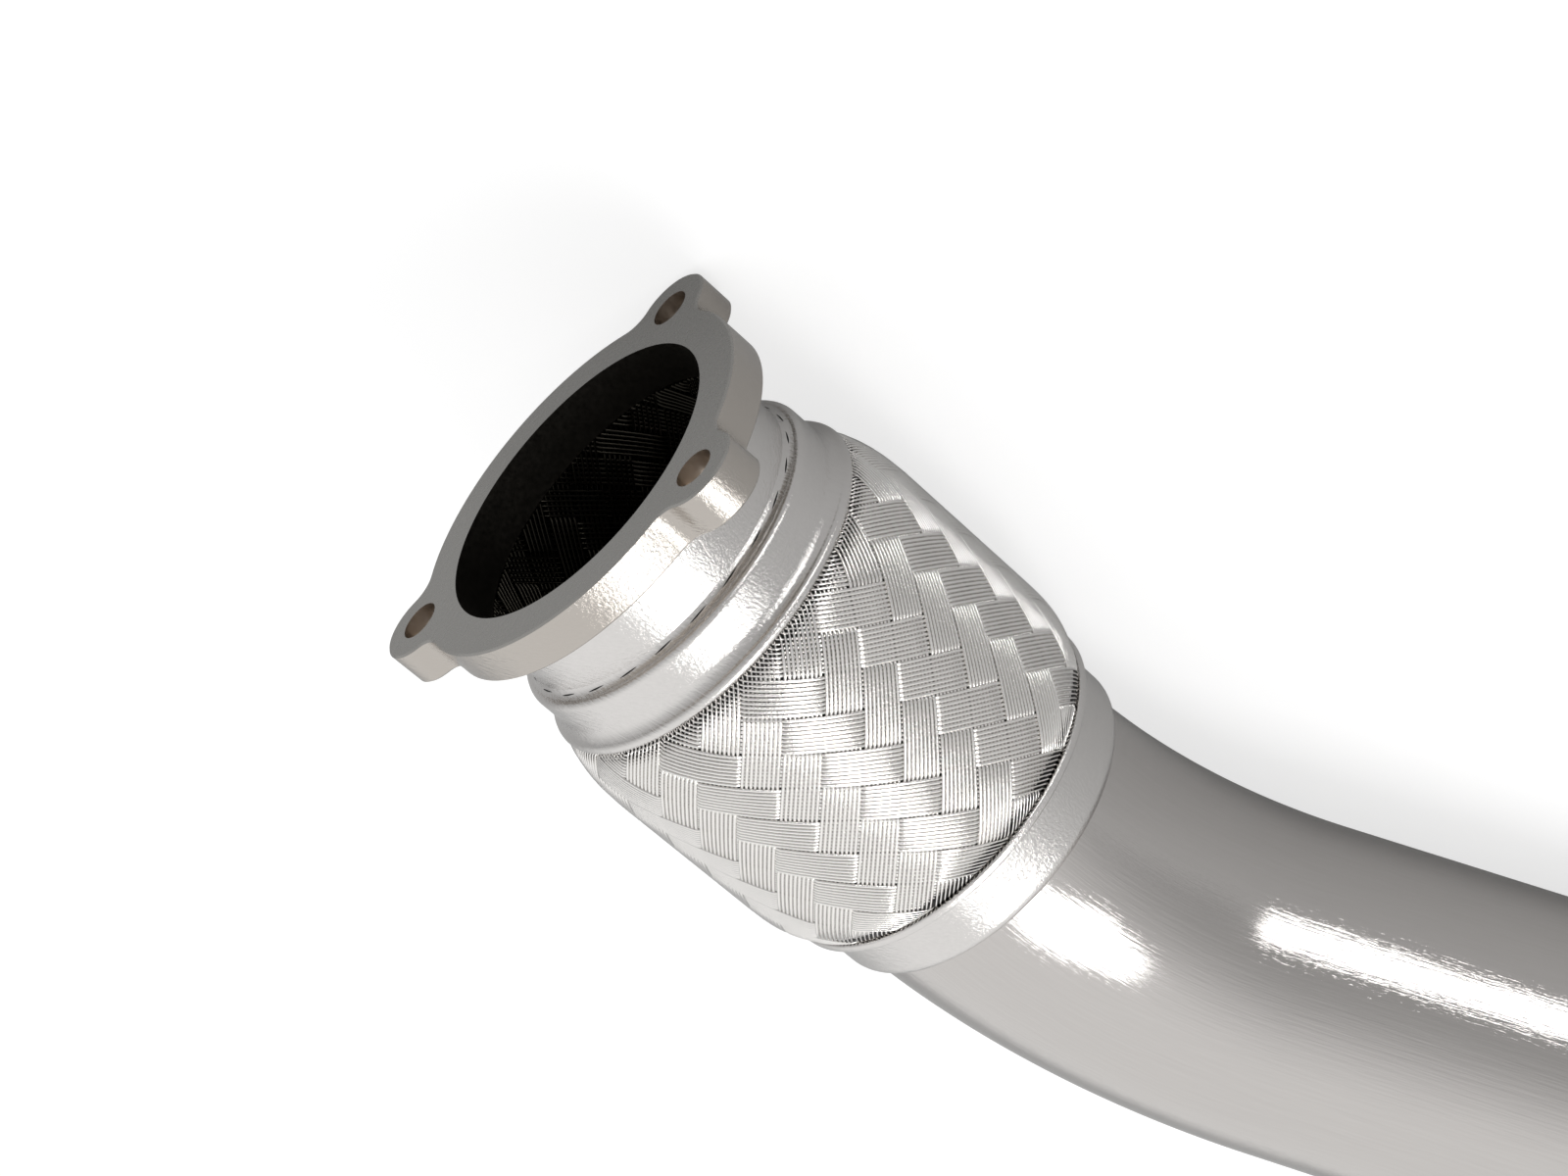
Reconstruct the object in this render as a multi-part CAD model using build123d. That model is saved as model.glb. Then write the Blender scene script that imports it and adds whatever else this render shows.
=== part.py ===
from build123d import *
import math
import os

# Resonator bypass pipe: a three-bolt inlet flange, a short neck, a braided flex
# section between two pressed collars, and a mandrel-bent pipe with a plain end.
# Millimetres. Every sub-part is drawn on the flex axis: X runs from the flange
# face into the pipe, the pipe bends towards +Y. lay() then turns the whole part
# about the centre of the flange face into the way it lies on a floor.

# Bypass pipe: the radii of all other pieces are steps up or down from its skin
pipe_radius = 38.1
pipe_wall = 1.6
pipe_reach = 11.0  # length of pipe inside the rear collar
bend_radius = 123.0
bend_angle = 40.4
run_out = 120.0

# Inlet neck
neck_set_in = 1.3  # skin of the neck below the skin of the pipe
neck_wall = 1.5
neck_reach = 6.0  # length of neck inside the front collar

# Inlet flange
flange_thickness = 9.2
flange_rim_width = 9.2  # from the bore to the plate's round edge
bolt_set_out = 1.5  # bolt circle beyond that edge
bolt_hole_radius = 4.55
ear_radius = 9.5
ear_fillet = 6.0
edge_break = 0.4
ear_angles = (-82.1, 15.7, 145.5)  # from the bend's side, uneven as on the real plate
socket_lip = 3.0  # face side of the bore that stops the neck

# Pressed collars
sheet = 1.2
front_collar_start = 24.5
front_band_rise = 3.4  # above the neck
front_band_length = 7.7
front_bead_rise = 2.7  # above the band
front_bead_length = 5.8
front_bead_ramp = 4.0  # length over which the collar swells from band to bead
front_bead_bend = 2.0
rear_band_rise = 2.7  # above the pipe
rear_band_length = 10.2
rear_bead_rise = 2.7  # above the band
rear_bead_length = 3.2
rear_bead_ramp = 1.0
rear_bead_bend = 0.6
shoulder_length = 2.9
lip_clearance = 0.2
seam_leg = 1.7  # fillet between neck and front collar
seam_hollow = 0.36  # depth of that fillet as a share of its leg
rim_rounding = 0.95  # outer edge of each rim over the braid
shoulder_rounding = 0.9  # edge between the front collar's flat end and its band

# Braided sleeve
braid_wall = 0.9
braid_swell = 2.55  # skin of the barrel above the front bead
braid_ramp = 14.6  # length over which each end swells to the full radius
front_tuck = 2.4  # length of braid held inside the front bead
rear_tuck = 1.0
tuck_slope = 0.4  # fall of each tucked end per length
rim_clearance = 0.3
float_height = 0.9
float_sink = 0.75  # depth by which a float is let into the sleeve's wall
ribbons = 24  # ribbons in each direction
ribbon_fill = 0.93  # width of a ribbon as a share of its pitch
float_fill = 0.95  # length of a float as a share of two pitches
float_flat = 0.3  # flat top of a float as a share of its length
float_row_pitch = 11.65
float_row_shift = 0.505  # place of the first row behind the front rim, in row pitches
braid_length = 70.8  # seen between the rims of the two beads

# Bellows and liner
bellows_wall = 0.4
bellows_seat = 0.2  # front cuff above the neck
bellows_lift = 0.3  # rear cuff and roots above the pipe
bellows_height = 4.8  # from root to crest
convolutions = 8
bellows_setback = 6.6  # from each rim to the first root
cuff_length = 6.0
liner_wall = 0.5
liner_clearance = 0.3  # sliding fit in the pipe
liner_end_gap = 0.2  # between the neck and the liner
liner_slip = 8.0  # length of liner that slides in the pipe

# How the part lies: on one flange ear, the braid and the lower edge of the pipe
lie_roll = 5.25
lie_pitch = 5.25

# Radii that follow from the pipe's
neck_radius = pipe_radius - neck_set_in
bore_radius = neck_radius - neck_wall
flange_body_radius = bore_radius + flange_rim_width
bolt_circle_radius = flange_body_radius + bolt_set_out
front_band_radius = neck_radius + front_band_rise
front_bead_radius = front_band_radius + front_bead_rise
rear_band_radius = pipe_radius + rear_band_rise
rear_bead_radius = rear_band_radius + rear_bead_rise
front_mouth = front_bead_radius - sheet - rim_clearance  # sleeve's skin under each rim
rear_mouth = rear_bead_radius - sheet - rim_clearance
braid_radius = front_bead_radius + braid_swell
bellows_root = pipe_radius + bellows_lift
bellows_crest = bellows_root + bellows_height

# Places along the flex axis that follow from the lengths
front_rim = front_collar_start + front_band_length + front_bead_length
rear_rim = front_rim + braid_length
rear_band_start = rear_rim + rear_bead_length
rear_shoulder = rear_band_start + rear_band_length
rear_collar_end = rear_shoulder + shoulder_length
bend_start = rear_shoulder
pipe_start = rear_shoulder - pipe_reach
flex_centre = (front_rim + rear_rim) / 2


def turned(outline):
    """Solid of revolution about the flex axis from a closed outline in X and radius."""
    return revolve(make_face(outline), Axis.X)


def ring(start, end, inner, outer):
    """Plain turned ring between two places on the flex axis."""
    section = Pos((start + end) / 2, (inner + outer) / 2) * Rectangle(end - start, outer - inner)
    return revolve(section, Axis.X)


def at_angle(radius, degrees):
    """Point of the flange face at a radius and an angle from the bend's side."""
    turn = math.radians(degrees)
    return (radius * math.cos(turn), radius * math.sin(turn))


def inlet_flange():
    ears = [at_angle(bolt_circle_radius, angle) for angle in ear_angles]
    plate = Circle(flange_body_radius) + [Pos(*ear) * Circle(ear_radius) for ear in ears]
    necks = [
        corner
        for corner in plate.vertices()
        if abs(math.hypot(corner.X, corner.Y) - flange_body_radius) < 0.01
        and min(math.dist((corner.X, corner.Y), ear) for ear in ears) < ear_radius + 0.01
    ]
    plate = fillet(necks, ear_fillet)
    blank = extrude(Plane.YZ * plate, flange_thickness)
    blank = chamfer(blank.faces().filter_by(Axis.X).edges(), edge_break)
    blank -= ring(-1, flange_thickness + 1, 0, bore_radius)
    blank -= ring(socket_lip, flange_thickness + 1, 0, neck_radius)
    for ear in ears:
        hole = Plane.YZ * Pos(*ear) * Circle(bolt_hole_radius)
        blank -= extrude(hole, flange_thickness)
    return blank


def inlet_neck():
    return ring(socket_lip, front_collar_start + neck_reach, bore_radius, neck_radius)


def front_seam_weld():
    x = front_collar_start
    toe = (x - seam_leg, neck_radius)
    root = (x, neck_radius)
    top = (x, neck_radius + seam_leg)
    sag = seam_leg * seam_hollow
    middle = (x - sag, neck_radius + sag)
    return turned(Curve() + [ThreePointArc(toe, middle, top), Line(top, root), Line(root, toe)])


def collar_corners(start, facing, wall, band_radius, band_length, rise, ramp, length):
    """Corners of a collar's skin, a wall inside its outer one, from the closed end to the rim."""
    lean = wall * math.tan(math.atan2(rise, ramp) / 2)
    radius = band_radius - wall
    return [
        (start, radius),
        (start + facing * (band_length + lean), radius),
        (start + facing * (band_length + lean + ramp), radius + rise),
        (start + facing * (band_length + length), radius + rise),
    ]


def front_collar():
    start = front_collar_start
    bead = (front_bead_rise, front_bead_ramp, front_bead_length)
    skin = collar_corners(start, 1, 0, front_band_radius, front_band_length, *bead)
    outer = FilletPolyline(*skin, radius=front_bead_bend)
    inner = Polyline(
        *collar_corners(start + sheet, 1, sheet, front_band_radius, front_band_length - sheet, *bead)
    )
    front_face = Polyline(outer @ 0, (start, neck_radius), (start + sheet, neck_radius), inner @ 0)
    body = turned(Curve() + [outer, inner, front_face, Line(outer @ 1, inner @ 1)])
    rim = body.edges().filter_by_position(Axis.X, front_rim - 0.01, front_rim + 0.01)
    body = fillet(rim.group_by(SortBy.RADIUS)[-1], rim_rounding)
    shoulder = body.edges().filter_by_position(Axis.X, start - 0.01, start + 0.01)
    return fillet(shoulder.group_by(SortBy.RADIUS)[-1], shoulder_rounding)


def rear_collar():
    start = rear_shoulder
    bead = (rear_bead_rise, rear_bead_ramp, rear_bead_length)
    skin = collar_corners(start, -1, 0, rear_band_radius, rear_band_length, *bead)
    outer = FilletPolyline(*skin, radius=rear_bead_bend)
    inner = Polyline(*collar_corners(start, -1, sheet, rear_band_radius, rear_band_length, *bead))
    eye = pipe_radius + lip_clearance
    tip = (rear_collar_end, eye)
    half_way = math.sqrt(0.5)
    drop = rear_band_radius - eye
    middle = (start + shoulder_length * half_way, eye + drop * half_way)
    shoulder = ThreePointArc(outer @ 0, middle, tip)
    edge = Polyline(tip, (rear_collar_end - sheet, eye), inner @ 0)
    body = turned(Curve() + [outer, shoulder, edge, inner, Line(inner @ 1, outer @ 1)])
    rim = body.edges().filter_by_position(Axis.X, rear_rim - 0.01, rear_rim + 0.01)
    return fillet(rim.group_by(SortBy.RADIUS)[-1], rim_rounding)


def arc_radius(run, rise):
    """Radius of an arc that leaves the barrel tangent and falls by rise over run."""
    return (run * run + rise * rise) / (2 * rise)


def braid_fall(x):
    """Drop of the sleeve's skin below the barrel, and its slope, at x."""
    front_run = front_rim + braid_ramp - x
    rear_run = x - (rear_rim - braid_ramp)
    run = max(front_run, rear_run, 0.0)
    rise = braid_radius - (front_mouth if front_run > 0 else rear_mouth)
    facing = 1 if front_run > 0 else -1
    if run > braid_ramp:
        return rise + tuck_slope * (run - braid_ramp), facing * tuck_slope
    bend = arc_radius(braid_ramp, rise)
    return bend - math.sqrt(bend**2 - run**2), facing * run / bend


def sleeve_line(depth):
    """Edges of the sleeve's section at a depth below its skin, front to rear."""
    top = braid_radius - depth
    front = (front_rim, front_mouth - depth)
    rear = (rear_rim, rear_mouth - depth)
    crown_front = (front_rim + braid_ramp, top)
    crown_rear = (rear_rim - braid_ramp, top)
    front_end = (front_rim - front_tuck, front_mouth - depth - tuck_slope * front_tuck)
    rear_end = (rear_rim + rear_tuck, rear_mouth - depth - tuck_slope * rear_tuck)
    half = braid_ramp / 2
    front_mid = (front_rim + half, top - braid_fall(front_rim + half)[0])
    rear_mid = (rear_rim - half, top - braid_fall(rear_rim - half)[0])
    return front_end, rear_end, [
        Line(front_end, front),
        ThreePointArc(front, front_mid, crown_front),
        Line(crown_front, crown_rear),
        ThreePointArc(crown_rear, rear_mid, rear),
        Line(rear, rear_end),
    ]


def woven_float(x, degrees, lay_angle, length, width):
    """One raised float of a ribbon: a strip with a flat top and two sloping ends, set on the sleeve at x."""
    fall, slope = braid_fall(x)
    top = float_sink + float_height
    flat = length * float_flat / 2
    side = Plane.XZ * make_face(Polyline((-length / 2, 0), (-flat, top), (flat, top), (length / 2, 0), close=True))
    strip = extrude(side, width / 2, both=True)
    root = Pos(x, 0, braid_radius - fall - float_sink)
    return Rot(X=degrees) * root * Rot(Y=-math.degrees(math.atan(slope))) * Rot(Z=lay_angle) * strip


def outer_braid():
    outer_start, outer_end, outer = sleeve_line(0)
    inner_start, inner_end, inner = sleeve_line(braid_wall)
    sleeve = turned(Curve() + outer + inner + [Line(outer_start, inner_start), Line(outer_end, inner_end)])
    crown = braid_radius + float_height
    column = 360 / ribbons
    across = 2 * math.pi * crown / ribbons
    lay_angle = math.degrees(math.atan2(across, float_row_pitch))
    pitch = across * math.cos(math.radians(lay_angle))
    length = 2 * pitch * float_fill
    width = pitch * ribbon_fill
    reach = float_row_pitch / 2
    between_rims = ring(front_rim + rim_clearance, rear_rim - rim_clearance, bellows_root, 2 * crown)
    floats = []
    for row in range(int(braid_length / float_row_pitch) + 2):
        for place in range(ribbons):
            side = 1 if place % 2 else -1
            x = front_rim + (row - 1 + float_row_shift + side / 4) * float_row_pitch
            if not front_rim - reach < x < rear_rim + reach:
                continue
            raised = woven_float(x, place * column, side * lay_angle, length, width)
            if min(x - front_rim, rear_rim - x) < 2 * reach:
                raised = raised & between_rims
            floats.append(raised)
    return sleeve.fuse(*floats)


def bellows():
    front_cuff = neck_radius + bellows_seat
    first = front_rim + bellows_setback
    last = rear_rim - bellows_setback
    step = (last - first) / convolutions
    cuff_start = front_collar_start + 2 * sheet
    line = [(cuff_start, front_cuff), (cuff_start + cuff_length, front_cuff)]
    for count in range(convolutions):
        line.append((first + count * step, bellows_root))
        line.append((first + (count + 0.5) * step, bellows_crest))
    line.append((last, bellows_root))
    line.append((rear_shoulder, bellows_root))
    skin = [(x, radius + bellows_wall) for x, radius in line]
    return turned(Polyline(*line, *skin[::-1], close=True))


def inner_liner():
    outer = pipe_radius - pipe_wall - liner_clearance
    start = front_collar_start + neck_reach + liner_end_gap
    return ring(start, pipe_start + liner_slip, outer - liner_wall, outer)


def bypass_pipe():
    lead = Line((pipe_start, 0), (bend_start, 0))
    bend = JernArc(lead @ 1, lead % 1, bend_radius, bend_angle)
    tail = Line(bend @ 1, bend @ 1 + run_out * (bend % 1))
    route = Curve() + [lead, bend, tail]
    section = Circle(pipe_radius) - Circle(pipe_radius - pipe_wall)
    return sweep(Plane(lead @ 0, z_dir=(1, 0, 0)) * section, route)


def lay(piece):
    """Turn a piece about the centre of the flange face into the way the part lies."""
    return Rot(Y=lie_pitch) * Rot(X=lie_roll) * piece


nodes = {
    "inlet_flange": inlet_flange,
    "inlet_neck": inlet_neck,
    "front_seam_weld": front_seam_weld,
    "front_collar": front_collar,
    "outer_braid": outer_braid,
    "bellows": bellows,
    "inner_liner": inner_liner,
    "rear_collar": rear_collar,
    "bypass_pipe": bypass_pipe,
}

os.makedirs("parts", exist_ok=True)
for name, make in nodes.items():
    export_step(lay(make()), f"parts/{name}.step")
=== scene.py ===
import math

import bmesh
import bpy
import numpy as np
from mathutils import Matrix, Vector


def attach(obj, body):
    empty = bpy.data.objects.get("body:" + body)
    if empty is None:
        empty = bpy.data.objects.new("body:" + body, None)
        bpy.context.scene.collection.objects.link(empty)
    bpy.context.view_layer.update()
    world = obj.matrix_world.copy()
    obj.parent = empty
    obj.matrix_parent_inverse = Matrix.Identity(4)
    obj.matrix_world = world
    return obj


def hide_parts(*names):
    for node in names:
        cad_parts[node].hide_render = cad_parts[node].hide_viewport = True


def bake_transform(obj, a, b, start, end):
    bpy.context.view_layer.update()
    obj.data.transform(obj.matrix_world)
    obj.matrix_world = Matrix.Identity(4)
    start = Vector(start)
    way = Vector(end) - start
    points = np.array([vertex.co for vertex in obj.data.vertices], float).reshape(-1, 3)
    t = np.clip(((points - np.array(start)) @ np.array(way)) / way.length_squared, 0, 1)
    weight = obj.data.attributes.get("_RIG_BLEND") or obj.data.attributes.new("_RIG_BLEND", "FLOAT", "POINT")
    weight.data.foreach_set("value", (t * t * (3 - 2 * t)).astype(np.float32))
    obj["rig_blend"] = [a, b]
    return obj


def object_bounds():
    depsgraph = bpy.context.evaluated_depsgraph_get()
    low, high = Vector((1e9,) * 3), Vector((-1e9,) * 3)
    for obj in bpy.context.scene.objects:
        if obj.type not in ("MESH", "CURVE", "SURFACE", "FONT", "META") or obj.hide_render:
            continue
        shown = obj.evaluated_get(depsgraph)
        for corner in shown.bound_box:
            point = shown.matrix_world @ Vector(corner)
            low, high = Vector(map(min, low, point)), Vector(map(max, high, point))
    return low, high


# Frame. The part lies on one flange ear, the braid and the pipe's lower edge,
# turned twice about the centre of the flange face. Pieces are drawn on the flex
# axis, in millimetres: X from the flange face into the pipe, the bend towards +Y.
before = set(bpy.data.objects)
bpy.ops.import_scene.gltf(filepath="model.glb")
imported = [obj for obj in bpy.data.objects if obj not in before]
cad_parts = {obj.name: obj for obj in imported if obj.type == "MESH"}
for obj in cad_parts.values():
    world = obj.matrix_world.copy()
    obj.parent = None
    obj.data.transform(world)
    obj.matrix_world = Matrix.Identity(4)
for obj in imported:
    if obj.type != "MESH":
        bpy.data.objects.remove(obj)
cad_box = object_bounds()
lie_pitch = lie_roll = math.radians(5.25)
laying = Matrix.Rotation(lie_pitch, 3, "Y") @ Matrix.Rotation(lie_roll, 3, "X")
lay = np.array(laying)


# Inlet flange. A thick steel plate cut to its outline with three ears, ground
# flat on its face and brushed round its rim, with plain drilled holes. It is the
# CAD plate, welded into one smooth skin.
def steel(name, colour, rough, heading=(1, 0, 0), along=1.0, across=1.0, bump=0.0, depth=0.0004,
          mottle=0.04, flank_shade=None):
    """A steel with brush lines that run along one heading and are fine across it.

    The grain attribute holds a point's place along and around its piece, so that
    the lines follow a tube through its bend. The share of the colour that is left
    where the crest attribute is 0, on the sides of a braid's wires, is flank_shade:
    painted shade between the wires.
    """
    made = bpy.data.materials.new(name)
    made.use_nodes = True
    nodes, links = made.node_tree.nodes, made.node_tree.links
    shader = nodes["Principled BSDF"]
    shader.inputs["Metallic"].default_value = 1.0
    grain = nodes.new("ShaderNodeAttribute")
    grain.attribute_name = "grain"
    heading = Vector(heading).normalized()
    length = nodes.new("ShaderNodeVectorMath")
    length.operation = "DOT_PRODUCT"
    length.inputs[1].default_value = heading
    squeeze = nodes.new("ShaderNodeVectorMath")
    squeeze.operation = "SCALE"
    squeeze.inputs[0].default_value = heading * (along / across - 1)
    place = nodes.new("ShaderNodeVectorMath")
    links.new(grain.outputs["Vector"], length.inputs[0])
    links.new(length.outputs["Value"], squeeze.inputs["Scale"])
    links.new(grain.outputs["Vector"], place.inputs[0])
    links.new(squeeze.outputs[0], place.inputs[1])
    lines = nodes.new("ShaderNodeTexNoise")
    lines.inputs["Scale"].default_value = across
    lines.inputs["Detail"].default_value = 4.0
    lines.inputs["Roughness"].default_value = 0.65
    links.new(place.outputs[0], lines.inputs["Vector"])
    spread = nodes.new("ShaderNodeMapRange")
    for socket, value in (("From Min", 0.3), ("From Max", 0.7),
                          ("To Min", rough * 0.8), ("To Max", rough * 1.25)):
        spread.inputs[socket].default_value = value
    links.new(lines.outputs["Fac"], spread.inputs["Value"])
    links.new(spread.outputs["Result"], shader.inputs["Roughness"])
    tint = nodes.new("ShaderNodeMix")
    tint.data_type = "RGBA"
    tint.inputs["A"].default_value = (*[c * (1 - mottle) for c in colour], 1)
    tint.inputs["B"].default_value = (*[min(1.0, c * (1 + mottle)) for c in colour], 1)
    links.new(lines.outputs["Fac"], tint.inputs["Factor"])
    links.new(tint.outputs["Result"], shader.inputs["Base Color"])
    if flank_shade is not None:
        crest = nodes.new("ShaderNodeAttribute")
        crest.attribute_name = "crest"
        shade = nodes.new("ShaderNodeMix")
        shade.data_type = "RGBA"
        shade.inputs["A"].default_value = (*[c * flank_shade for c in colour], 1)
        links.new(crest.outputs["Fac"], shade.inputs["Factor"])
        links.new(tint.outputs["Result"], shade.inputs["B"])
        links.new(shade.outputs["Result"], shader.inputs["Base Color"])
    if bump:
        dents = nodes.new("ShaderNodeBump")
        dents.inputs["Strength"].default_value = bump
        dents.inputs["Distance"].default_value = depth
        links.new(lines.outputs["Fac"], dents.inputs["Height"])
        links.new(dents.outputs["Normal"], shader.inputs["Normal"])
    return made


girth = (0.56, 0.76, 0.32)  # heading of the brush lines on the flange's rim and the rings
flange_steel = steel("flange_steel", (0.43, 0.42, 0.40), 0.28, along=0.8, across=0.8, mottle=0.02)
rim_steel = steel("flange_rim_steel", (0.52, 0.485, 0.445), 0.05, girth, 0.08, 1.5, bump=0.45, mottle=0.02)
hole_steel = steel("bolt_hole_steel", (0.46, 0.395, 0.335), 0.35)
# The bore steel is near-black: painted shade inside the flange's bore and the neck's bore, not the steel's
# own colour.
bore_shade_steel = steel("bore_shade_steel", (0.065, 0.059, 0.05), 0.4)
bolt_circle, ear_angles = 46.0, np.radians([-82.1, 15.7, 145.5])
hole_reach, bore_reach = 5.2, 35.6  # just outside the walls of the holes and the bore

plate = bpy.data.objects.new("flange_plate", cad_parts["inlet_flange"].data.copy())
bpy.context.scene.collection.objects.link(plate)
shape = bmesh.new()
shape.from_mesh(plate.data)
bmesh.ops.remove_doubles(shape, verts=shape.verts, dist=1e-6)
bmesh.ops.dissolve_limit(shape, angle_limit=math.radians(0.5), verts=shape.verts, edges=shape.edges)
bmesh.ops.triangulate(shape, faces=shape.faces)
shape.to_mesh(plate.data)
shape.free()
for name in [a.name for a in plate.data.attributes if a.name == "custom_normal"]:
    plate.data.attributes.remove(plate.data.attributes[name])
plate.data.shade_smooth()
plate.data.set_sharp_from_angle(angle=math.radians(25))
corners = np.array([v.co for v in plate.data.vertices]) @ lay * 1000
brush = plate.data.attributes.new("grain", "FLOAT_VECTOR", "POINT")
brush.data.foreach_set("vector", corners.astype(np.float32).ravel())
plate.data.materials.clear()
for finish in (flange_steel, rim_steel, hole_steel, bore_shade_steel):
    plate.data.materials.append(finish)
on_face, on_rim, in_hole, in_bore = range(4)
ears = [(bolt_circle * math.cos(angle), bolt_circle * math.sin(angle)) for angle in ear_angles]
for face in plate.data.polygons:
    facing = lay.T @ np.array(face.normal)
    x, y, z = lay.T @ np.array(face.center) * 1000
    if math.hypot(y, z) < bore_reach:
        face.material_index = in_bore
    elif facing[0] < -0.5:
        face.material_index = on_face
    elif min(math.dist((y, z), ear) for ear in ears) < hole_reach:
        face.material_index = in_hole
    else:
        face.material_index = on_rim
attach(plate, "front_end")
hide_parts("inlet_flange")


# Inlet neck and its seam. A short steel tube that stands in the flange, brushed
# round its girth and broken at its edges. A narrow sloping weld closes it to the
# front collar. The woven liner covers its inside from weave_start on.
def piece_of(shape, name, body, nodes, material, split=30.0, grain=None, closed=True):
    """A finished piece of a shape in flex-axis millimetres. Its grain is its own place, or a given one."""
    if closed:
        bmesh.ops.remove_doubles(shape, verts=shape.verts, dist=0.001)
        bmesh.ops.recalc_face_normals(shape, faces=shape.faces)
    brush = shape.verts.layers.float_vector.new("grain")
    for corner in shape.verts:
        corner[brush] = grain(corner.co) if grain else corner.co
    bmesh.ops.transform(shape, matrix=laying.to_4x4(), verts=shape.verts)
    bmesh.ops.scale(shape, vec=(0.001, 0.001, 0.001), verts=shape.verts)
    mesh = bpy.data.meshes.new(name)
    shape.to_mesh(mesh)
    shape.free()
    mesh.shade_smooth()
    mesh.set_sharp_from_angle(angle=math.radians(split))
    mesh.materials.append(material)
    made = bpy.data.objects.new(name, mesh)
    bpy.context.scene.collection.objects.link(made)
    if body:
        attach(made, body)
    if nodes:
        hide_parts(*nodes)
    return made


def lathe(name, profile, body, nodes, material, around=192, split=30.0):
    """A turned piece: a closed profile of places on the axis and radii, spun once round."""
    shape = bmesh.new()
    corners = [shape.verts.new((place, radius, 0)) for place, radius in profile]
    edges = [shape.edges.new(pair) for pair in zip(corners, corners[1:] + corners[:1])]
    bmesh.ops.spin(shape, geom=corners + edges, axis=(1, 0, 0), cent=(0, 0, 0), angle=2 * math.pi,
                   steps=around, use_merge=True)
    return piece_of(shape, name, body, nodes, material, split)


ring_steel = steel("ring_steel", (0.72, 0.7, 0.682), 0.05, girth, 0.08, 1.5, bump=0.45, mottle=0.06)
# The liner steel is almost black: painted shade on the liner sleeve and on the neck's inside behind the
# liner wires.
liner_shade_steel = steel("liner_shade_steel", (0.006, 0.006, 0.005), 0.5)
neck_radius, neck_bore, neck_start, neck_end, edge = 36.8, 35.3, 3.0, 30.5, 0.3
weave_start = 11.0
neck_profile = [(neck_start, neck_radius), (neck_end - edge, neck_radius), (neck_end, neck_radius - edge),
                (neck_end, neck_bore + edge), (neck_end - edge, neck_bore), (weave_start, neck_bore),
                (neck_start, neck_bore)]
neck = lathe("neck_tube", neck_profile, "front_end", ["inlet_neck"], ring_steel)
neck.data.materials.append(bore_shade_steel)
neck.data.materials.append(liner_shade_steel)
# The neck's inside is painted near-black, with bore steel before weave_start and liner steel from there on:
# painted shade.
for face in neck.data.polygons:
    x, y, z = lay.T @ np.array(face.center) * 1000
    face.material_index = 0 if math.hypot(y, z) > neck_bore + 0.1 else 1 if x < weave_start else 2
slope = [(22.8, neck_radius), (23.3, 37.0), (23.8, 37.35), (24.2, 37.85), (24.45, 38.45)]
lathe("neck_seam", slope + [(24.48, 38.45), (24.48, neck_radius)], "front_end",
      ["front_seam_weld"], ring_steel, split=60)

# Seam slits. Short openings in the hollow of the seam, evenly spaced, each
# pointed at both ends. They are thin near-black faces just above the weld:
# painted shade for the openings' dark insides.
slit_shade_paint = steel("seam_slit", (0.02, 0.02, 0.02), 0.5)
slit_count, first_slit, slit_place, slit_half, slit_lift = 24, 14.0, 23.8, 0.12, 0.04
step_turn, step_slant, point_step = 1.8, 0.05, 2.3  # degrees and mm from row to row, and the row of no width
shape = bmesh.new()
row = None
for step in range(-2, 3):
    turn = math.radians(first_slit + step_turn * step)
    half = slit_half * (1 - (step / point_step) ** 2)
    middle = slit_place + step_slant * step
    before, row = row, []
    for place in (middle - half, middle + half):
        radius = np.interp(place, *np.transpose(slope)) + slit_lift
        row.append(shape.verts.new((place, radius * math.cos(turn), radius * math.sin(turn))))
    if before:
        shape.faces.new((before[0], before[1], row[1], row[0]))
bmesh.ops.spin(shape, geom=shape.verts[:] + shape.edges[:] + shape.faces[:], axis=(1, 0, 0), cent=(0, 0, 0),
               angle=2 * math.pi * (slit_count - 1) / slit_count, steps=slit_count - 1, use_duplicate=True)
piece_of(shape, "seam_slits", "front_end", [], slit_shade_paint, closed=False)


# Front collar. A pressed steel ring over the braid's end: a flat end towards the
# flange with a rounded edge, a plain band, and a rolled bead that turns down on
# to the braid.
def arc(centre_s, centre_r, radius, start, end, steps=6):
    """Points of a profile on a circle, angles in degrees from the axis direction."""
    turns = np.radians(np.linspace(start, end, steps + 1))
    return [(centre_s + radius * math.cos(t), centre_r + radius * math.sin(t)) for t in turns]


front = [(24.5, neck_radius), (24.5, 38.5)] + arc(26.2, 38.5, 1.7, 172, 90, 7)
front += [(32.6, 40.25), (33.6, 40.45), (34.4, 40.85), (35.0, 41.4)]
front += arc(36.75, 41.6, 1.35, 165, 0, 12) + [(38.05, 41.4)]
front += [(36.4, 41.2), (34.5, 40.3), (32.0, 39.1), (25.7, 39.0), (25.7, neck_radius)]
lathe("front_ring", front, "front_end", ["front_collar"], ring_steel)

# Rear collar. A pressed steel ring with a narrow bead over the braid's end, a
# band, and a rounded shoulder that ends in a sharp line on the pipe.
rear = [(108.7, 41.9)] + arc(109.4, 42.8, 0.7, 180, 90, 6) + arc(110.3, 43.0, 0.5, 90, 15, 4)
rear += [(111.3, 41.6)] + arc(112.2, 41.6, 0.8, 195, 270, 4)
rear += [(121.6, 40.8)] + arc(122.2, 38.1, 2.7, 85, 0, 7)
rear += [(123.6, 38.1), (121.5, 39.6), (112.4, 39.6), (111.0, 40.2), (110.0, 41.9)]
lathe("rear_ring", rear, "rear_end", ["rear_collar"], ring_steel)

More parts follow.
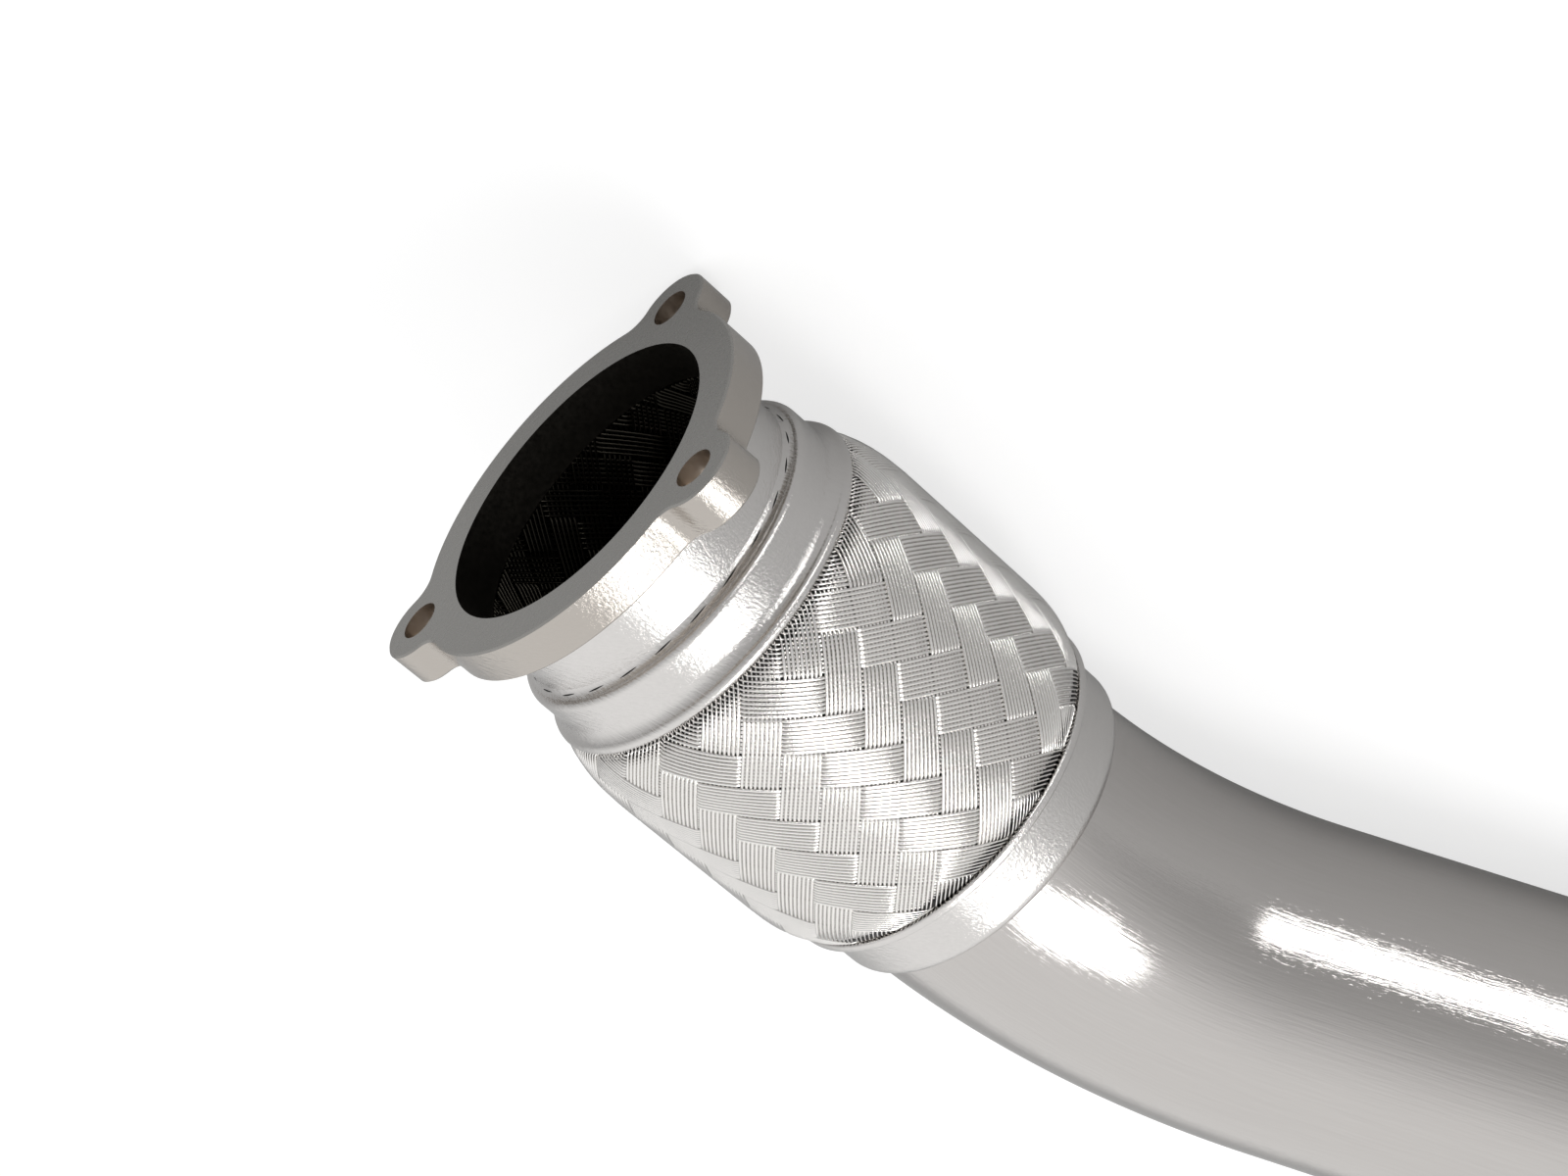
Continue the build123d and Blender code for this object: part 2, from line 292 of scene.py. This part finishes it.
# Bypass pipe. A steel tube bent on a mandrel and brushed along its length, with
# a plain open end. Both its walls are swept at once: straight out of the rear
# collar, round the bend, and straight on.
pipe_radius, pipe_bore = 38.08, 36.5
pipe_start, bend_start, bend_radius, bend, run_out = 111.2, 122.2, 123.0, math.radians(40.4), 120.0
pipe_steel = steel("pipe_steel", (0.585, 0.562, 0.543), 0.1, (1, 0, 0), 0.06, 1.6, bump=0.28, depth=0.00025,
                   mottle=0.05)


def pipe_grain(point):
    """Length along the centre line, through the bend, and the place across it."""
    turn = min(max(math.atan2(point.x - bend_start, bend_radius - point.y), 0.0), bend)
    ahead = Vector((math.cos(turn), math.sin(turn), 0))
    aside = Vector((-math.sin(turn), math.cos(turn), 0))
    offset = point - Vector((bend_start, bend_radius, 0)) + bend_radius * aside
    return Vector((bend_start + bend_radius * turn + offset @ ahead, offset @ aside, point.z))


shape = bmesh.new()
upright = Matrix.Translation((pipe_start, 0, 0)) @ Matrix.Rotation(math.radians(90), 4, "Y")
for radius in (pipe_radius, pipe_bore):
    bmesh.ops.create_circle(shape, segments=192, radius=radius, matrix=upright)
rim = shape.edges[:]
sweep = rim
for steps, turn, travel in ((4, 0, Vector((bend_start - pipe_start, 0, 0))), (48, bend, Vector((0, 0, 0))),
                            (16, 0, run_out * Vector((math.cos(bend), math.sin(bend), 0)))):
    sweep = bmesh.ops.spin(shape, geom=sweep, axis=(0, 0, 1), cent=(bend_start, bend_radius, 0), angle=turn,
                           dvec=travel / steps, steps=steps)["geom_last"]
bmesh.ops.bridge_loops(shape, edges=rim)
bmesh.ops.bridge_loops(shape, edges=[part for part in sweep if isinstance(part, bmesh.types.BMEdge)])
piece_of(shape, "pipe_tube", "rear_end", ["bypass_pipe"], pipe_steel, grain=pipe_grain)

# Woven braid. A barrel-shaped sleeve of bright steel wire, 24 flat ribbons each
# way, nine wires to a ribbon, woven two over and two under. Its ends dive under
# the beads of both collars, where the wires are drawn together and thinner.
row_pitch, ribbons = 11.65, 24
barrel = np.array([(35.6, 40.0), (37.0, 40.8), (38.0, 41.5), (38.3, 42.5), (38.7, 43.0), (39.5, 43.4),
                   (42, 44.3), (45, 45.2), (48, 45.8), (50, 46.05), (55, 46.3), (95, 46.3), (98, 46.2),
                   (100, 46.0), (102, 45.6), (105, 44.75), (106, 44.4), (107, 44.0), (107.8, 43.55),
                   (108.3, 43.1), (108.6, 42.0), (110, 41.3)])
thinning = np.array([(38.0, 0.5), (39.5, 0.55), (41.5, 1.0), (103.5, 1.0), (106.0, 0.5)])
braid_stops = [36, 37, 38, 38.3, 38.7, 39.5, 41.5, 43.5, 46, 100, 102, 103, 104, 105.5, 106, 107, 107.8,
               108.3, 108.6, 109.9]
# The braid steel darkens each wire's sides to three quarters of its colour: painted shade between the wires.
braid_steel = steel("braid_steel", (0.92, 0.9, 0.875), 0.15, along=1.8, across=1.8, bump=0.3, depth=0.0002,
                    flank_shade=0.75)
wire_section = np.radians([-35, 25, 90, 155, 215])
wire_crest = [0, 0.7, 1, 0.7, 0]
knots = np.array([-0.1, -0.035, 0.035, 0.1, 0.5, 1.0, 1.5])  # places within one weave repeat, in floats
low_wire = -0.3  # height of a wire that passes under, in wire radii, where one that passes over is at 1
steepness = 6.5  # how quickly a wire changes from over to under
shortest = 0.12  # between two rings of a wire


def laid(points):
    """Flex-axis millimetres to the frame that all pieces share, in metres."""
    return np.asarray(points, float) @ lay.T / 1000


def weave(name, way, wires, thick, spread, profile, stops, facing, material, taper=((0, 1),)):
    """One family of wires: way 1 or -1 is its turn round the axis, thick a wire's radius.

    A ribbon's wires share its width by spread. A wire that passes over another
    just touches the profile, from inside where facing is 1, from outside at -1.
    Rings of points stand where the weave changes and at the stops.
    """
    points, faces, used = [], [], 0
    repeats = np.concatenate([2 * count + knots for count in range(-40, 40)])
    first_crossing, first_lane = (1.0019, 12.0153) if way == 1 else (8.5153, 1.5019)
    for ribbon in range(ribbons):
        shift = first_crossing + ribbon
        for wire in range(wires):
            lane = first_lane + ribbon + ((wire + 0.5) / wires - 0.5) * spread
            places = (repeats + shift + lane) * row_pitch / 2
            places = np.union1d(places[(places > stops[0]) & (places < stops[-1])], stops)
            places = places[np.concatenate([[True], np.diff(places) > shortest])]
            over = np.sin((2 * places / row_pitch - lane - shift) * np.pi / 2) * steepness
            lift = (1 + low_wire) / 2 + (1 - low_wire) / 2 * np.sin(np.pi / 2 * np.clip(over, -1, 1))
            turn = way * 2 * np.pi / ribbons * (lane - places / row_pitch)
            slim = thick * np.interp(places, *np.transpose(taper))
            radius = np.interp(places, profile[:, 0], profile[:, 1]) - facing * thick * (2 - lift)
            line = np.stack([places, radius * np.cos(turn), radius * np.sin(turn)], 1)
            tangent = np.gradient(line, axis=0)
            tangent /= np.linalg.norm(tangent, axis=1)[:, None]
            outward = facing * np.stack([np.zeros_like(turn), np.cos(turn), np.sin(turn)], 1)
            outward -= (outward * tangent).sum(1)[:, None] * tangent
            outward /= np.linalg.norm(outward, axis=1)[:, None]
            sideways = np.cross(tangent, outward)
            ring = (np.cos(wire_section)[None, :, None] * sideways[:, None]
                    + np.sin(wire_section)[None, :, None] * outward[:, None])
            rings = line[:, None] + slim[:, None, None] * ring
            steps = len(wire_section)
            i, k = np.meshgrid(np.arange(len(places) - 1), np.arange(steps - 1), indexing="ij")
            corner = used + i * steps + k
            quads = np.stack([corner, corner + steps, corner + steps + 1, corner + 1], -1)
            faces.append(quads.reshape(-1, 4))
            points.append(rings.reshape(-1, 3))
            used += len(places) * steps
    points = np.concatenate(points)
    mesh = bpy.data.meshes.new(name)
    mesh.from_pydata(laid(points).tolist(), [], np.concatenate(faces).tolist())
    mesh.update()
    mesh.shade_smooth()
    brush = mesh.attributes.new("grain", "FLOAT_VECTOR", "POINT")
    brush.data.foreach_set("vector", points.astype(np.float32).ravel())
    crest = mesh.attributes.new("crest", "FLOAT", "POINT")
    crest.data.foreach_set("value", np.tile(wire_crest, len(points) // len(wire_crest)).astype(np.float32))
    mesh.materials.append(material)
    made = bpy.data.objects.new(name, mesh)
    bpy.context.scene.collection.objects.link(made)
    return made


flex_start, flex_end = laid((42, 0, 0)), laid((105, 0, 0))  # the braid between the two collars
for name, way in (("braid_wires_left", 1), ("braid_wires_right", -1)):
    strands = weave(name, way, wires=9, thick=0.39, spread=0.97, profile=barrel, stops=braid_stops, facing=1,
                    material=braid_steel, taper=thinning)
    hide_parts("outer_braid")
    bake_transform(strands, "front_end", "rear_end", start=flex_start, end=flex_end)

# Inside of the flex section. A steel backing under the wires, raised at both
# rims, the thin corrugated bellows that seals the section, and the woven
# liner that shows through the bore and slides in the pipe. All are painted
# near-black as painted shade inside the section, and the backing is painted
# shade that shows in the gaps between the wires.
inside_shade_steel = steel("inside_shade_steel", (0.03, 0.029, 0.028), 0.4)
# The liner wires are near-black: painted shade inside the bore.
liner_wire_shade_steel = steel("inner_wire_shade_steel", (0.034, 0.031, 0.025), 0.3)
backing_start, backing_end, backing_wall = 35.8, 110.8, 0.5
sunk = np.array([(35.8, 0.65), (39.5, 0.65), (41.5, 1.25), (103.5, 1.25), (106.0, 0.62), (108.3, 0.62),
                 (109, 1.25)])  # depth of the backing under the barrel
places = np.union1d(np.linspace(backing_start, backing_end, 40), [39.5, 41.5, 103.5, 106, 108, 108.3, 109])
backing = [(s, np.interp(s, *barrel.T) - np.interp(s, *sunk.T)) for s in places]
backing += [(s, r - backing_wall) for s, r in backing[::-1]]

first_root, fold, fold_count, root, crest_radius, sheet = 44.6, 7.2, 8, 38.4, 43.2, 0.4
folds = [(26.9, 37.0), (32.9, 37.0)]
for count in range(fold_count):
    folds += [(first_root + count * fold, root), (first_root + (count + 0.5) * fold, crest_radius)]
folds += [(first_root + fold_count * fold, root), (116.2, root), (122.2, root)]
folds = [(s, r + sheet) for s, r in folds] + folds[::-1]

liner_end, liner_place = 119.0, 34.75
lining = [(30.7, 36.2), (119.2, 36.2), (119.2, 35.7), (30.7, 35.7)]
tube = np.array([(weave_start, 34.3), (30.0, 34.3), (31.5, liner_place), (liner_end, liner_place)])
for name, way in (("liner_wires_left", 1), ("liner_wires_right", -1)):
    strands = weave(name, way, wires=6, thick=0.3, spread=0.9, profile=tube, stops=tube[:, 0], facing=-1,
                    material=liner_wire_shade_steel)
    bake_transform(strands, "front_end", "rear_end", start=flex_start, end=flex_end)
for name, profile, slot, nodes, material in (
        ("braid_backing", backing, "braid_wire", [], inside_shade_steel),
        ("bellows_sheet", folds, "thin_sheet", ["bellows"], inside_shade_steel),
        ("liner_sleeve", lining, "liner_sheet", ["inner_liner"], liner_shade_steel)):
    made = lathe(name, profile, None, nodes, material, around=96)
    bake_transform(made, "front_end", "rear_end", start=flex_start, end=flex_end)

# Floor. A plain white sheet that keeps the part's shadow. It lies 1 mm under the
# part, so that it doesn't show through the pipe's mouth at the joint's lower
# limit. Its own glow makes it white to the camera, and adds a little in mirrors.
floor_half, floor_drop, camera_glow, mirror_glow = 6, 0.001, 0.7, 0.08
shape = bmesh.new()
bmesh.ops.create_grid(shape, x_segments=1, y_segments=1, size=floor_half)
bmesh.ops.translate(shape, verts=shape.verts, vec=(0, 0, cad_box[0][2] - floor_drop))
floor_mesh = bpy.data.meshes.new("floor")
shape.to_mesh(floor_mesh)
shape.free()
floor = bpy.data.objects.new("floor", floor_mesh)
bpy.context.scene.collection.objects.link(floor)
paint = bpy.data.materials.new("floor_white")
paint.use_nodes = True
matt = paint.node_tree.nodes["Principled BSDF"]
matt.inputs["Base Color"].default_value = (0.42, 0.42, 0.42, 1)
matt.inputs["Roughness"].default_value = 1.0
matt.inputs["Specular IOR Level"].default_value = 0.0
matt.inputs["Emission Color"].default_value = (1, 1, 1, 1)
seen = paint.node_tree.nodes.new("ShaderNodeLightPath")
mirrored, faint, glow = [paint.node_tree.nodes.new("ShaderNodeMath") for _ in range(3)]
mirrored.operation, faint.operation, glow.operation = "MAXIMUM", "MULTIPLY", "MULTIPLY_ADD"
faint.inputs[1].default_value = mirror_glow
glow.inputs[1].default_value = camera_glow
for source, target in ((seen.outputs["Is Glossy Ray"], mirrored.inputs[0]),
                       (seen.outputs["Is Transmission Ray"], mirrored.inputs[1]),
                       (mirrored.outputs["Value"], faint.inputs[0]),
                       (seen.outputs["Is Camera Ray"], glow.inputs[0]),
                       (faint.outputs["Value"], glow.inputs[2]),
                       (glow.outputs["Value"], matt.inputs["Emission Strength"])):
    paint.node_tree.links.new(source, target)
floor_mesh.materials.append(paint)


# Light. Two soft lamps, one above the part and one low beside it, and a white
# surround that is brighter on one side.
def lamp(name, azimuth, elevation, distance, size, watts):
    """A rectangular lamp that looks at the part's middle."""
    data = bpy.data.lights.new(name, "AREA")
    data.shape = "RECTANGLE"
    data.size, data.size_y = size
    data.energy = watts
    made = bpy.data.objects.new(name, data)
    a, e = math.radians(azimuth), math.radians(elevation)
    middle = Vector((0.13, 0.02, 0))
    way = Vector((math.cos(e) * math.cos(a), math.cos(e) * math.sin(a), math.sin(e)))
    made.location = middle + distance * way
    made.rotation_euler = (middle - made.location).to_track_quat("-Z", "Y").to_euler()
    bpy.context.scene.collection.objects.link(made)
    return made


lamp("key_lamp", 50, 50, 1.2, (0.5, 0.34), 4.6)
lamp("low_lamp", 124, 4, 1.2, (0.5, 0.13), 2)
world = bpy.context.scene.world or bpy.data.worlds.new("world")
bpy.context.scene.world = world
world.use_nodes = True
surround = world.node_tree.nodes["Background"]
surround.inputs["Color"].default_value = (1, 1, 1, 1)
outlook = world.node_tree.nodes.new("ShaderNodeTexCoord")
towards = world.node_tree.nodes.new("ShaderNodeVectorMath")
towards.operation = "DOT_PRODUCT"
towards.inputs[1].default_value = (0.656, -0.308, 0.689)  # the brighter side
level = world.node_tree.nodes.new("ShaderNodeMapRange")
level.interpolation_type = "SMOOTHSTEP"
for socket, value in (("From Min", -0.3), ("From Max", 0.9), ("To Min", 0.45), ("To Max", 0.95)):
    level.inputs[socket].default_value = value
world.node_tree.links.new(outlook.outputs["Generated"], towards.inputs[0])
world.node_tree.links.new(towards.outputs["Value"], level.inputs["Value"])
world.node_tree.links.new(level.outputs["Result"], surround.inputs["Strength"])

# Camera. The photograph's own camera, found from the flange's holes, the bore
# and the pipe's edges.
eye = laid((-275.3, 549.4, 409.6))
image_right = lay @ np.array((0.6828, 0.6575, -0.3186))
image_down = lay @ np.array((0.5899, -0.2388, 0.7714))
focal_pixels, image_width, sensor = 3668.13, 1600, 36
ahead = np.cross(image_right, image_down)
ahead /= np.linalg.norm(ahead)
image_right /= np.linalg.norm(image_right)
image_up = np.cross(image_right, ahead)
turn = Matrix((image_right, image_up, -ahead)).transposed().to_4x4()
camera_data = bpy.data.cameras.new("camera")
camera_data.sensor_width = sensor
camera_data.lens = focal_pixels / image_width * sensor
camera_data.clip_start = 0.01
camera = bpy.data.objects.new("camera", camera_data)
camera.matrix_world = Matrix.Translation(eye) @ turn
bpy.context.scene.collection.objects.link(camera)
bpy.context.scene.camera = camera
bpy.context.scene.view_settings.view_transform = "Standard"
